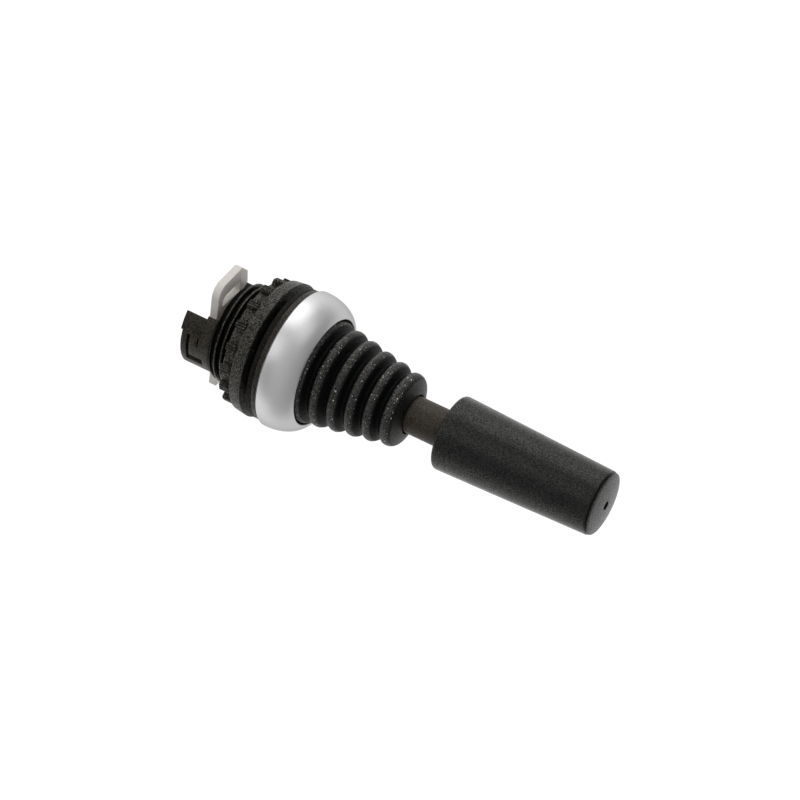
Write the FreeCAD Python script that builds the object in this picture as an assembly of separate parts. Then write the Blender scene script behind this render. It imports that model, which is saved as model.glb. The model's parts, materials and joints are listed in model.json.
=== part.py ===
import FreeCAD, Part
import math
import os

# Panel-mounted joystick, millimetres.
# Origin: centre of the panel seat plane, which is the gasket's rear face.
# +Z leaves through the grip, +X goes through the rocker plate's windowed lobe,
# and +Y goes through one of the two coupling arms.

# Fits
press_gap = 0.02
seat_gap = 0.05
running_gap = 0.04
loose_gap = 0.15
soft_gap = 0.25

# Threaded barrel that passes through the panel hole
panel_hole_r = 11.25
panel_hole_gap = 0.45
thread_depth = 0.8
thread_pitch = 1.5
thread_crest_width = 0.35
barrel_wall = 1.1
barrel_rear_depth = 12.06
rim_chamfer = 0.9

# Front flange and collar of the barrel
gasket_thickness = 1.11
gasket_setback = 0.08
flange_thickness = 1.24
flange_width = 2.38
collar_step = 1.1
collar_wall = 2.0
collar_lip = 1.05

# Coupling arms behind the thread
arm_length = 7.07
arm_setback = 0.05
arm_wall = 1.35
arm_half_angle = 40.6
arm_root_length = 2.3
arm_root_extra_angle = 4.2
arm_end_step = 0.4
arm_step_from_angle = 17.0
lock_slot_width = 0.7
lock_slot_from_end = 2.07
lock_slot_start_angle = 15.0
lock_slot_end_angle = 25.0
key_slot_angle = 10.0
key_slot_length = 3.8
mark_slot_width = 0.3
mark_slot_from_end = 4.32
mark_slot_angle = 13.0
arm_slot_depth = 1.0

# Ring nut
nut_panel_gap = 1.36
nut_flange_thickness = 2.81
nut_hub_length = 2.84
nut_flange_overhang = 0.36
nut_flange_taper = 0.35
nut_flange_chamfer = 0.2
nut_hub_wall = 1.75
nut_tooth_height = 1.26
nut_tooth_width = 1.55
nut_teeth = 17
nut_first_tooth_angle = -1.7
nut_bore_chamfer = 0.5

# Bezel
bezel_overhang = 0.54
bezel_mouth_depth = 3.35
bezel_widest_height = 0.86
bezel_lip_reach = 0.46
bezel_foot_chamfer = 0.45
bezel_lip_round = 0.35

# Gimbal carrier, gate and snap ring
carrier_wall = 1.45
carrier_flange_thickness = 1.4
carrier_seat_z = -0.26
carrier_setback = 0.95
carrier_tail = 3.1
carrier_shelf_r = 6.4
carrier_shelf_depth = 1.5
gate_thickness = 1.2
snap_ring_thickness = 0.75
snap_ring_width = 1.3
snap_ring_bite = 0.4
snap_ring_opening = 40.0

# Pivot and lever
tilt_limit = 7.0
ring_wall = 1.4
ring_height = 3.0
ring_swing_gap = 0.8
pin_r = 0.8
hub_swing_gap = 0.8
hub_top_height = 3.5
hub_rear_depth = 3.0
hub_neck_r = 3.0
spigot_r = 2.4
spigot_tail = 0.85
shaft_r = 4.0
shaft_stud_r = 2.2
shaft_stud_length = 2.0
shaft_visible_length = 8.56
shaft_in_grip = 21.0
gate_gap = 0.15

# Rocker plate behind the barrel
rocker_rim_gap = 1.75
rocker_thickness = 1.75
rocker_waist_r = 6.8
lobe_side_y = 4.55
lobe_corner_round = 2.9
lobe_end_x = 12.4
lobe_horn_x = 12.9
lobe_horn_y = 3.92
lobe_toe_x = 10.8
lobe_toe_y = 6.2
lobe_heel_x = 7.6
lobe_heel_y = 6.6
lobe_root_x = 5.2
lobe_root_y = 3.52
window_rim = 3.15
window_inner_x = 7.05
window_low_y = 3.6
window_high_y = 2.8
window_corner_cut = 0.85
tongue_end_x = 14.4
tongue_half_width = 2.4
rocker_washer_thickness = 0.3
rocker_washer_r = 4.4
rocker_clip_thickness = 0.4
rocker_clip_r = 3.7
rocker_groove_r = 2.0

# Return spring
spring_seat_thickness = 0.5
spring_seat_width = 1.6
spring_seat_margin = 0.3
spring_height = 5.0
spring_wire_r = 0.4
spring_turns = 3.0
spring_top_gap = 0.6
spring_end_gap = 0.15
washer_thickness = 0.6
washer_overhang = 0.4
clip_thickness = 0.6
clip_r = 5.2
clip_groove_depth = 0.6
clip_opening = 80.0

# Bellows
bellows_wall = 0.6
bellows_flange_thickness = 1.0
clamp_ring_thickness = 1.2
clamp_ring_width = 1.5
bellows_mouth_gap = 0.34
bellows_first_crest_drop = 0.36
bellows_folds = 5
bellows_pitch = 3.76
bellows_taper = 0.66
bellows_crest_round = 1.3
bellows_trough_round = 0.5
bellows_flank_angle = 55.0
bellows_end_round = 1.5
bellows_end_slope = 22.0
neck_bush_length = 3.0
neck_bush_wall = 1.3

# Grip
grip_length = 34.55
grip_rear_r = 8.0
grip_front_r = 6.85
grip_rear_round = 0.7
grip_rim_round = 0.25
insert_length = 10.0
insert_wall = 1.2
cap_setback = 0.19
cap_groove_width = 0.2
cap_groove_depth = 0.45
cap_edge_round = 0.6
cap_dome_r = 30.0
cap_spigot_length = 6.4
cap_hole_r = 0.98
cap_hole_depth = 2.4

# Places that follow from the sizes above
thread_crest_r = panel_hole_r - panel_hole_gap
thread_root_r = thread_crest_r - thread_depth
barrel_bore_r = thread_root_r - barrel_wall
rear_rim_z = -barrel_rear_depth
carrier_rear_z = rear_rim_z + carrier_setback
pivot_z = carrier_rear_z + carrier_tail
arm_outer_r = thread_root_r - arm_setback
arm_inner_r = arm_outer_r - arm_wall
arm_end_z = rear_rim_z - arm_length
flange_front_z = gasket_thickness + flange_thickness
collar_bore_r = barrel_bore_r + collar_step
collar_r = collar_bore_r + collar_wall
flange_r = collar_r + flange_width
gasket_outer_r = flange_r - gasket_setback
nut_bore_r = thread_crest_r + loose_gap
nut_hub_r = nut_bore_r + nut_hub_wall
nut_flange_r = flange_r + nut_flange_overhang
nut_flange_rear_r = nut_flange_r - nut_flange_taper
bezel_max_r = flange_r + bezel_overhang
bezel_mouth_r = collar_r - bezel_lip_reach
carrier_flange_top = carrier_seat_z + carrier_flange_thickness
gate_top = carrier_flange_top + gate_thickness
snap_ring_z = gate_top + seat_gap
snap_ring_top = snap_ring_z + snap_ring_thickness
collar_top = snap_ring_top + seat_gap + collar_lip
bellows_flange_top = collar_top + bellows_flange_thickness
clamp_top = bellows_flange_top + clamp_ring_thickness
bezel_front_z = clamp_top + bezel_mouth_depth
carrier_r = barrel_bore_r - seat_gap
carrier_bore_r = carrier_r - carrier_wall
carrier_shelf_z = carrier_seat_z - carrier_shelf_depth
ring_r = carrier_bore_r - ring_swing_gap
ring_bore_r = ring_r - ring_wall
hub_r = ring_bore_r - hub_swing_gap
hub_top_z = pivot_z + hub_top_height
hub_rear_z = pivot_z - hub_rear_depth
rocker_front_z = rear_rim_z - rocker_rim_gap
rocker_rear_z = rocker_front_z - rocker_thickness
rocker_washer_rear_z = rocker_rear_z - rocker_washer_thickness
rocker_clip_rear_z = rocker_washer_rear_z - rocker_clip_thickness
spigot_end_z = rocker_rear_z - spigot_tail
gate_half_width = (
    (gate_top - pivot_z) * math.tan(math.radians(tilt_limit))
    + shaft_r / math.cos(math.radians(tilt_limit)) + gate_gap
)
spring_seat_top = gate_top + spring_seat_thickness
spring_seat_r = collar_bore_r - snap_ring_width - spring_seat_margin + snap_ring_bite
spring_base_r = spring_seat_r - spring_seat_width / 2
spring_top_z = spring_seat_top + spring_height
spring_end_r = shaft_r + spring_top_gap + spring_wire_r
washer_r = spring_end_r + spring_wire_r + washer_overhang
washer_top = spring_top_z + washer_thickness
crest0_z = bezel_front_z - bellows_first_crest_drop
crest0_r = bezel_mouth_r - bellows_mouth_gap
last_crest_z = crest0_z + bellows_folds * bellows_pitch
last_crest_r = crest0_r - bellows_folds * bellows_taper
bellows_hole_r = shaft_r + soft_gap
end_slope = math.radians(bellows_end_slope)
shoulder_r = last_crest_r - bellows_end_round * (1 - math.sin(end_slope))
shoulder_z = last_crest_z + bellows_end_round * math.cos(end_slope)
bellows_end_z = shoulder_z + (shoulder_r - bellows_hole_r) * math.tan(end_slope)
neck_bush_top = last_crest_z + bellows_end_round - bellows_wall - soft_gap
neck_bush_z = neck_bush_top - neck_bush_length
neck_clip_z = neck_bush_z - clip_thickness
grip_rear_z = bellows_end_z + shaft_visible_length
grip_rim_z = grip_rear_z + grip_length
grip_bore_r = shaft_r + seat_gap
shaft_end_z = grip_rear_z + shaft_in_grip
insert_r = shaft_r + seat_gap + insert_wall
cap_r = grip_front_r - cap_setback
cap_spigot_z = grip_rim_z - cap_spigot_length


def vec(x, y, z):
    return FreeCAD.Vector(x, y, z)


def polar(r, degrees, z):
    a = math.radians(degrees)
    return vec(r * math.cos(a), r * math.sin(a), z)


def cylinder(r, z0, z1):
    return Part.makeCylinder(r, z1 - z0, vec(0, 0, z0))


def tube(r_in, r_out, z0, z1):
    return cylinder(r_out, z0, z1).cut(cylinder(r_in, z0 - 1, z1 + 1))


def ring_sector(r_in, r_out, z0, z1, a0, a1):
    wedge = Part.makeCylinder(r_out, z1 - z0, vec(0, 0, z0), vec(0, 0, 1), a1 - a0)
    wedge.rotate(vec(0, 0, 0), vec(0, 0, 1), a0)
    return wedge.cut(cylinder(r_in, z0 - 1, z1 + 1))


def cross_pin(r, start, length, degrees):
    return Part.makeCylinder(r, length, polar(start, degrees, pivot_z), polar(1, degrees, 0))


def on_profile(pair):
    return vec(pair[0], 0, pair[1])


def on_plate(pair):
    return vec(pair[0], pair[1], rocker_rear_z)


def outline(points, place):
    """Closed wire from pairs and ("arc", middle, end) steps, each pair put in space by place."""
    edges = []
    here = place(points[0])
    for step in points[1:] + [points[0]]:
        if step[0] == "arc":
            end = place(step[2])
            edges.append(Part.Arc(here, place(step[1]), end).toShape())
        else:
            end = place(step)
            if (end - here).Length > 1e-6:
                edges.append(Part.makeLine(here, end))
        here = end
    return Part.Wire(edges)


def revolved(points):
    face = Part.Face(outline(points, on_profile))
    return face.revolve(vec(0, 0, 0), vec(0, 0, 1), 360)


def around_twice(shape):
    other = shape.copy()
    other.rotate(vec(0, 0, 0), vec(0, 0, 1), 180)
    return [shape, other]


def thread_profile():
    """Ridges of the barrel's outside, from the gasket to the rear rim."""
    flank = (thread_pitch - 2 * thread_crest_width) / 2
    turns = int((barrel_rear_depth - rim_chamfer) / thread_pitch)
    points = []
    z = 0.0
    for _ in range(turns):
        points.append((thread_crest_r, z - thread_crest_width))
        points.append((thread_root_r, z - thread_crest_width - flank))
        points.append((thread_root_r, z - 2 * thread_crest_width - flank))
        points.append((thread_crest_r, z - thread_pitch))
        z -= thread_pitch
    points.append((thread_crest_r, rear_rim_z + rim_chamfer))
    points.append((thread_crest_r - rim_chamfer, rear_rim_z))
    return points


def barrel_body():
    points = [(thread_crest_r, gasket_thickness)]
    points += thread_profile()
    points += [
        (barrel_bore_r, rear_rim_z),
        (barrel_bore_r, carrier_seat_z),
        (collar_bore_r, carrier_seat_z),
        (collar_bore_r, snap_ring_z - seat_gap),
        (collar_bore_r + snap_ring_bite, snap_ring_z - seat_gap),
        (collar_bore_r + snap_ring_bite, snap_ring_top + seat_gap),
        (collar_bore_r, snap_ring_top + seat_gap),
        (collar_bore_r, collar_top),
        (collar_r, collar_top),
        (collar_r, flange_front_z),
        (flange_r, flange_front_z),
        (flange_r, gasket_thickness),
    ]
    return revolved(points)


def coupling_arm():
    """Arm about +Y with the L-shaped lock slot and a short mark slot, all blind."""
    low = 90 - arm_half_angle
    high = 90 + arm_half_angle
    slot_floor_r = arm_outer_r - arm_slot_depth
    lock_slot_z = arm_end_z + lock_slot_from_end - lock_slot_width / 2
    mark_slot_z = arm_end_z + mark_slot_from_end - mark_slot_width / 2
    arm = ring_sector(arm_inner_r, arm_outer_r, arm_end_z, rear_rim_z, low, high)
    root = ring_sector(
        arm_inner_r, arm_outer_r, rear_rim_z - arm_root_length, rear_rim_z,
        low - arm_root_extra_angle, high,
    )
    bridge = ring_sector(barrel_bore_r - 0.3, arm_outer_r, rear_rim_z, rear_rim_z + 0.5, low, high)
    bridge = bridge.cut(cylinder(barrel_bore_r, rear_rim_z - 1, rear_rim_z + 1))
    arm = arm.fuse([root, bridge])
    cuts = [
        ring_sector(
            arm_inner_r - 1, arm_outer_r + 1, arm_end_z - 1, arm_end_z + arm_end_step,
            90 - arm_step_from_angle, high + 5,
        ),
        ring_sector(
            slot_floor_r, arm_outer_r + 1, lock_slot_z, lock_slot_z + lock_slot_width,
            90 - lock_slot_start_angle, 90 + lock_slot_end_angle,
        ),
        ring_sector(
            slot_floor_r, arm_outer_r + 1, lock_slot_z, lock_slot_z + key_slot_length,
            90 + lock_slot_end_angle - key_slot_angle, 90 + lock_slot_end_angle,
        ),
        ring_sector(
            slot_floor_r, arm_outer_r + 1, mark_slot_z, mark_slot_z + mark_slot_width,
            90 - lock_slot_start_angle, 90 - lock_slot_start_angle + mark_slot_angle,
        ),
    ]
    return arm.cut(Part.makeCompound(cuts))


def barrel():
    return barrel_body().fuse(around_twice(coupling_arm())).removeSplitter()


def gasket():
    return tube(thread_crest_r + seat_gap, gasket_outer_r, 0, gasket_thickness)


def ring_nut():
    front = -nut_panel_gap
    flange_rear = front - nut_flange_thickness
    rear = flange_rear - nut_hub_length
    body = revolved([
        (nut_bore_r, front - nut_bore_chamfer),
        (nut_bore_r + nut_bore_chamfer, front),
        (nut_flange_r, front),
        (nut_flange_rear_r, flange_rear + nut_flange_chamfer),
        (nut_flange_rear_r - nut_flange_chamfer, flange_rear),
        (nut_hub_r, flange_rear),
        (nut_hub_r, rear),
        (nut_bore_r + nut_bore_chamfer, rear),
        (nut_bore_r, rear + nut_bore_chamfer),
    ])
    teeth = []
    root = nut_hub_r - 0.4
    for i in range(nut_teeth):
        tooth = Part.makeBox(
            nut_hub_r + nut_tooth_height - root, nut_tooth_width, nut_hub_length,
            vec(root, -nut_tooth_width / 2, rear),
        )
        tooth.rotate(vec(0, 0, 0), vec(0, 0, 1), nut_first_tooth_angle + 360.0 * i / nut_teeth)
        teeth.append(tooth)
    return body.fuse(teeth).removeSplitter()


def bezel():
    """Satin ring whose outside follows a quarter oval from the foot to the mouth."""
    widest_z = flange_front_z + bezel_widest_height
    rise = bezel_front_z - widest_z
    lip_r = bezel_mouth_r + bezel_lip_round
    lip_z = bezel_front_z
    centre_r = bezel_mouth_r - 2 * bezel_lip_round
    spread = bezel_max_r - centre_r
    share = (lip_r - centre_r) / spread
    start = math.asin(share)
    height = rise / math.cos(start)

    def oval(angle):
        return (centre_r + spread * math.sin(angle), widest_z + height * math.cos(angle))

    foot_z = flange_front_z + bezel_foot_chamfer
    foot = math.acos(max(-1.0, (foot_z - widest_z) / height))
    step = (foot - start) / 6
    return revolved([
        (collar_r + press_gap, flange_front_z),
        (oval(foot)[0] - bezel_foot_chamfer, flange_front_z),
        oval(foot),
        ("arc", oval(foot - step), oval(foot - 2 * step)),
        ("arc", oval(foot - 3 * step), oval(foot - 4 * step)),
        ("arc", oval(foot - 5 * step), (lip_r, lip_z)),
        ("arc", (
            bezel_mouth_r + bezel_lip_round * (1 - math.sqrt(0.5)),
            lip_z - bezel_lip_round * (1 - math.sqrt(0.5)),
        ), (bezel_mouth_r, lip_z - bezel_lip_round)),
        (bezel_mouth_r, clamp_top),
        (collar_r + press_gap, clamp_top),
    ])


def carrier():
    body = revolved([
        (carrier_shelf_r, carrier_flange_top),
        (collar_bore_r - seat_gap, carrier_flange_top),
        (collar_bore_r - seat_gap, carrier_seat_z),
        (carrier_r, carrier_seat_z),
        (carrier_r, carrier_rear_z),
        (carrier_bore_r, carrier_rear_z),
        (carrier_bore_r, carrier_shelf_z),
        (carrier_shelf_r, carrier_shelf_z),
    ])
    hole = cross_pin(pin_r + running_gap, -carrier_r - 1, 2 * carrier_r + 2, 0)
    return body.cut(hole)


def gate_plate():
    plate = cylinder(collar_bore_r - seat_gap, carrier_flange_top, gate_top)
    window = Part.makeBox(
        2 * gate_half_width, 2 * gate_half_width, gate_thickness + 2,
        vec(-gate_half_width, -gate_half_width, carrier_flange_top - 1),
    )
    return plate.cut(window)


def snap_ring():
    outer = collar_bore_r + snap_ring_bite - seat_gap
    return ring_sector(
        outer - snap_ring_width, outer, snap_ring_z, snap_ring_top,
        snap_ring_opening / 2, 360 - snap_ring_opening / 2,
    )


def spring_seat():
    return tube(spring_seat_r - spring_seat_width, spring_seat_r, gate_top, spring_seat_top)


def return_spring():
    """Conical coil from the seat on the gate up to the washer on the shaft."""
    steps_per_turn = 16
    steps = int(spring_turns * steps_per_turn)
    low = spring_seat_top + spring_wire_r + spring_end_gap
    high = spring_top_z - spring_wire_r - spring_end_gap
    points = []
    for i in range(steps + 1):
        share = i / steps
        r = spring_base_r + (spring_end_r - spring_base_r) * share
        points.append(polar(r, 360.0 * i / steps_per_turn, low + (high - low) * share))
    curve = Part.BSplineCurve()
    curve.interpolate(points)
    path = Part.Wire([curve.toShape()])
    start_dir = curve.tangent(curve.FirstParameter)[0]
    ring = Part.Wire([Part.makeCircle(spring_wire_r, points[0], start_dir)])
    return path.makePipeShell([ring], True, True)


def washer():
    return tube(shaft_r + press_gap, washer_r, spring_top_z, washer_top)


def shaft_clip(z):
    groove_r = shaft_r - clip_groove_depth + press_gap
    return ring_sector(
        groove_r, clip_r, z, z + clip_thickness, clip_opening / 2, 360 - clip_opening / 2,
    )


def shaft_clips():
    return Part.makeCompound([shaft_clip(washer_top), shaft_clip(neck_clip_z)])


def neck_bush():
    return tube(shaft_r + press_gap, shaft_r + neck_bush_wall, neck_bush_z, neck_bush_top)


def fold_curve(inset):
    """(radius, z) steps up the folds to the end; inset moves the curve inwards, square to itself."""
    flank = math.radians(bellows_flank_angle)
    crest = bellows_crest_round - inset
    trough = bellows_trough_round + inset
    end_round = bellows_end_round - inset
    slope_run = bellows_pitch / 2 - (crest + trough) * math.sin(flank)
    depth = (crest + trough) * (1 - math.cos(flank)) + slope_run * math.tan(flank)

    def leaned(r, z):
        return (r - bellows_taper * (z - crest0_z) / bellows_pitch - inset, z)

    def crest_point(i, angle):
        z = crest0_z + i * bellows_pitch + crest * math.sin(angle)
        return leaned(crest0_r - crest * (1 - math.cos(angle)), z)

    def trough_point(i, angle):
        z = crest0_z + (i - 0.5) * bellows_pitch + trough * math.sin(angle)
        return leaned(crest0_r - depth + trough * (1 - math.cos(angle)), z)

    steps = [trough_point(0, 0), ("arc", trough_point(0, flank / 2), trough_point(0, flank))]
    for i in range(bellows_folds):
        steps.append(crest_point(i, -flank))
        steps.append(("arc", crest_point(i, 0), crest_point(i, flank)))
        steps.append(trough_point(i + 1, -flank))
        steps.append(("arc", trough_point(i + 1, 0), trough_point(i + 1, flank)))
    steps.append(crest_point(bellows_folds, -flank))
    steps.append(("arc", crest_point(bellows_folds, -flank / 2), crest_point(bellows_folds, 0)))
    centre_r = last_crest_r - bellows_end_round
    turned = math.pi / 2 - end_slope

    def end_point(angle):
        return (centre_r + end_round * math.cos(angle), last_crest_z + end_round * math.sin(angle))

    shoulder = end_point(turned)
    steps.append(("arc", end_point(turned / 2), shoulder))
    steps.append((bellows_hole_r, shoulder[1] + (shoulder[0] - bellows_hole_r) * math.tan(end_slope)))
    return steps


def reverse_steps(steps):
    """The same run of line and arc steps, walked from its end to its start."""
    ends = [s[2] if s[0] == "arc" else s for s in steps]
    back = [ends[-1]]
    for i in range(len(steps) - 1, 0, -1):
        if steps[i][0] == "arc":
            back.append(("arc", steps[i][1], ends[i - 1]))
        else:
            back.append(ends[i - 1])
    return back


def bellows():
    outer = fold_curve(0)
    foot_r = outer[0][0]
    rim_r = collar_r - seat_gap
    points = [
        (foot_r - bellows_wall, collar_top),
        (rim_r, collar_top),
        (rim_r, bellows_flange_top),
        (foot_r, bellows_flange_top),
    ]
    return revolved(points + outer + reverse_steps(fold_curve(bellows_wall)))


def clamp_ring():
    outer = collar_r - seat_gap
    return tube(outer - clamp_ring_width, outer, bellows_flange_top, clamp_top)


def gimbal_ring():
    ring = tube(ring_bore_r, ring_r, pivot_z - ring_height / 2, pivot_z + ring_height / 2)
    outer_hole = cross_pin(pin_r + press_gap, -ring_r - 1, 2 * ring_r + 2, 0)
    inner_hole = cross_pin(pin_r + running_gap, -ring_r - 1, 2 * ring_r + 2, 90)
    return ring.cut(Part.makeCompound([outer_hole, inner_hole]))


def ring_pins():
    start = ring_bore_r + seat_gap
    length = carrier_r - seat_gap - start
    return Part.makeCompound(around_twice(cross_pin(pin_r, start, length, 0)))


def hub():
    body = revolved([
        (0, hub_top_z),
        (hub_r, hub_top_z),
        (hub_r, hub_rear_z),
        (hub_neck_r, hub_rear_z),
        (hub_neck_r, rocker_front_z),
        (spigot_r, rocker_front_z),
        (spigot_r, rocker_washer_rear_z),
        (rocker_groove_r, rocker_washer_rear_z),
        (rocker_groove_r, rocker_clip_rear_z),
        (spigot_r, rocker_clip_rear_z),
        (spigot_r, spigot_end_z),
        (0, spigot_end_z),
    ])
    stud_hole = cylinder(shaft_stud_r + press_gap, hub_top_z - shaft_stud_length - seat_gap, hub_top_z + 1)
    pin_hole = cross_pin(pin_r + press_gap, -hub_r - 1, 2 * hub_r + 2, 90)
    return body.cut(Part.makeCompound([stud_hole, pin_hole]))


def hub_pin():
    reach = ring_r - seat_gap
    return cross_pin(pin_r, -reach, 2 * reach, 90)


def shaft():
    groove_r = shaft_r - clip_groove_depth
    return revolved([
        (0, hub_top_z - shaft_stud_length),
        (shaft_stud_r, hub_top_z - shaft_stud_length),
        (shaft_stud_r, hub_top_z),
        (shaft_r, hub_top_z),
        (shaft_r, washer_top),
        (groove_r, washer_top),
        (groove_r, washer_top + clip_thickness),
        (shaft_r, washer_top + clip_thickness),
        (shaft_r, neck_clip_z),
        (groove_r, neck_clip_z),
        (groove_r, neck_bush_z),
        (shaft_r, neck_bush_z),
        (shaft_r, shaft_end_z),
        (0, shaft_end_z),
    ])


def grip():
    slope = (grip_rear_r - grip_front_r) / grip_length
    rear_r = grip_rear_r - slope * grip_rear_round
    rear_turn = grip_rear_round * (1 - math.sqrt(0.5))
    rim_turn = grip_rim_round * (1 - math.sqrt(0.5))
    rim_r = grip_front_r + slope * grip_rim_round
    insert_z = shaft_end_z - insert_length
    return revolved([
        (grip_bore_r, grip_rear_z),
        (rear_r - grip_rear_round, grip_rear_z),
        ("arc", (rear_r - rear_turn, grip_rear_z + rear_turn), (rear_r, grip_rear_z + grip_rear_round)),
        (rim_r, grip_rim_z - grip_rim_round),
        ("arc", (rim_r - rim_turn, grip_rim_z - rim_turn), (rim_r - grip_rim_round, grip_rim_z)),
        (insert_r + press_gap, grip_rim_z),
        (insert_r + press_gap, insert_z),
        (grip_bore_r, insert_z),
    ])


def grip_insert():
    return tube(grip_bore_r, insert_r, shaft_end_z - insert_length, shaft_end_z)


def grip_cap():
    """Domed cap with a fine groove under its edge and a hole in its middle."""
    edge_z = grip_rim_z + cap_groove_width
    edge_centre_r = cap_r - cap_edge_round
    reach = cap_dome_r - cap_edge_round
    lean = math.asin(edge_centre_r / reach)
    dome_centre_z = edge_z - reach * math.cos(lean)

    def edge_point(angle):
        return (edge_centre_r + cap_edge_round * math.sin(angle), edge_z + cap_edge_round * math.cos(angle))

    def dome_point(angle):
        return (cap_dome_r * math.sin(angle), dome_centre_z + cap_dome_r * math.cos(angle))

    apex = dome_point(0)
    cap = revolved([
        (0, cap_spigot_z),
        (insert_r, cap_spigot_z),
        (insert_r, grip_rim_z),
        (cap_r - cap_groove_depth, grip_rim_z),
        (cap_r - cap_groove_depth, edge_z),
        (cap_r, edge_z),
        ("arc", edge_point((lean + math.pi / 2) / 2), edge_point(lean)),
        ("arc", dome_point(lean / 2), apex),
    ])
    return cap.cut(cylinder(cap_hole_r, apex[1] - cap_hole_depth, apex[1] + 1))


def plate_prism(points):
    face = Part.Face(outline(points, on_plate))
    return face.extrude(vec(0, 0, rocker_thickness))


def rocker_lobe():
    """Lobe at +X: rounded at its plain side, slanted to a horn and a toe at the other."""
    corner_x = lobe_end_x - lobe_corner_round
    corner_y = lobe_side_y - lobe_corner_round
    turn = lobe_corner_round * math.sqrt(0.5)
    return plate_prism([
        (0, lobe_side_y),
        (corner_x, lobe_side_y),
        ("arc", (corner_x + turn, corner_y + turn), (lobe_end_x, corner_y)),
        (lobe_horn_x, -lobe_horn_y),
        (lobe_toe_x, -lobe_toe_y),
        (lobe_heel_x, -lobe_heel_y),
        (lobe_root_x, -lobe_root_y),
        (0, -lobe_root_y),
    ])


def rocker_window():
    high_x = lobe_end_x - window_rim
    return plate_prism([
        (window_inner_x, -window_low_y),
        (lobe_horn_x - window_rim, -window_low_y),
        (high_x, window_high_y - window_corner_cut),
        (high_x - window_corner_cut, window_high_y),
        (window_inner_x, window_high_y),
    ])


def rocker_tongue():
    return Part.makeBox(
        tongue_end_x, 2 * tongue_half_width, rocker_thickness,
        vec(-tongue_end_x, -tongue_half_width, rocker_rear_z),
    )


def rocker_plate():
    disc = cylinder(rocker_waist_r, rocker_rear_z, rocker_front_z)
    plate = disc.fuse([rocker_lobe(), rocker_tongue()]).removeSplitter()
    hole = cylinder(spigot_r + press_gap, rocker_rear_z - 1, rocker_front_z + 1)
    return plate.cut(Part.makeCompound([hole, rocker_window()]))


def rocker_washer():
    return tube(spigot_r + press_gap, rocker_washer_r, rocker_washer_rear_z, rocker_rear_z)


def rocker_clip():
    return ring_sector(
        rocker_groove_r + press_gap, rocker_clip_r, rocker_clip_rear_z, rocker_washer_rear_z,
        clip_opening / 2, 360 - clip_opening / 2,
    )


os.makedirs("parts", exist_ok=True)
nodes = {
    "barrel": barrel(),
    "gasket": gasket(),
    "bezel": bezel(),
    "carrier": carrier(),
    "gate_plate": gate_plate(),
    "snap_ring": snap_ring(),
    "spring_seat": spring_seat(),
    "return_spring": return_spring(),
    "bellows": bellows(),
    "clamp_ring": clamp_ring(),
    "ring_nut": ring_nut(),
    "gimbal_ring": gimbal_ring(),
    "ring_pins": ring_pins(),
    "shaft": shaft(),
    "hub": hub(),
    "hub_pin": hub_pin(),
    "washer": washer(),
    "shaft_clips": shaft_clips(),
    "neck_bush": neck_bush(),
    "grip": grip(),
    "grip_insert": grip_insert(),
    "grip_cap": grip_cap(),
    "rocker_plate": rocker_plate(),
    "rocker_washer": rocker_washer(),
    "rocker_clip": rocker_clip(),
}
for name, shape in nodes.items():
    shape.exportStep("parts/" + name + ".step")
    print(name, "solids", len(shape.Solids), "valid", shape.isValid(), "volume", round(shape.Volume, 2))
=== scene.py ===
"""Panel joystick operator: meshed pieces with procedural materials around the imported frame."""

import json
import math

import bmesh
import bpy
from mathutils import Matrix, Vector, noise


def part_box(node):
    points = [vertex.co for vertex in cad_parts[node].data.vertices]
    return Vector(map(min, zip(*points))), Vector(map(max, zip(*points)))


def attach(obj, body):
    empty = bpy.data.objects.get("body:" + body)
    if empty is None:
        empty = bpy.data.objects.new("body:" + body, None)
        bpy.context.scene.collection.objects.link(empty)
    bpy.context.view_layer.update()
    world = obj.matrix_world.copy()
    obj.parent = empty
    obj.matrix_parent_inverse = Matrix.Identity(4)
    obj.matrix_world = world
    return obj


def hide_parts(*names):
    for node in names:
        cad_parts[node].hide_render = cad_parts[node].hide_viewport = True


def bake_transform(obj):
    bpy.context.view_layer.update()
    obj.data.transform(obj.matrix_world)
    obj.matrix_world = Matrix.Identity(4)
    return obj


MM = 0.001
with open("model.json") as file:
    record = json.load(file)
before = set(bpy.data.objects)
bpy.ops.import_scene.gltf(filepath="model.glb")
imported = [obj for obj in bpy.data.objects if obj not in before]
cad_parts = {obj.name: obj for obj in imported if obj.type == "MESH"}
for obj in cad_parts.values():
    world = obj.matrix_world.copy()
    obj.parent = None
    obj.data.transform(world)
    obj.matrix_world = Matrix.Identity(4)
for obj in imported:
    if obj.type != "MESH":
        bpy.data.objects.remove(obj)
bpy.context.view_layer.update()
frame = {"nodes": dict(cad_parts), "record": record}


def low(node):
    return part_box(node)[0].z / MM


def high(node):
    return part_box(node)[1].z / MM


# Sizes in millimetres; FOLD_FLANK and FIRST_TOOTH in radians, END_SLOPE in degrees
THREAD_CREST_R = 10.8
THREAD_ROOT_R = 10.0
THREAD_PITCH = 1.5
BORE_R = 8.9
ARM_INNER_R = 8.6
ARM_OUTER_R = 9.95
ARM_SLOT_R = 8.95
REAR_RIM_Z = -12.06
CARRIER_SEAT = -0.26
COLLAR_R = 12.0
FLANGE_R = 14.38
BEZEL_R = 14.92
MOUTH_R = 11.54
CREST_R = 11.2
FOLDS = 5
FOLD_PITCH = 3.76
FOLD_TAPER = 0.66
CREST_ROUND = 1.3
TROUGH_ROUND = 0.5
FOLD_FLANK = math.radians(55)
END_ROUND = 1.5
END_SLOPE = 22.0
BELLOWS_WALL = 0.6
SHAFT_R = 4.0
GRIP_REAR_R = 8.0
GRIP_RIM_R = 6.85
CAP_R = 6.66
WAIST_R = 6.8
TEETH = 17
FIRST_TOOTH = math.radians(-1.7)
ARM_END = low("barrel")
GASKET_TOP = high("gasket")
FLANGE_TOP = low("bezel")
BEZEL_TOP = high("bezel")
CREST_Z = BEZEL_TOP - 0.36
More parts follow.
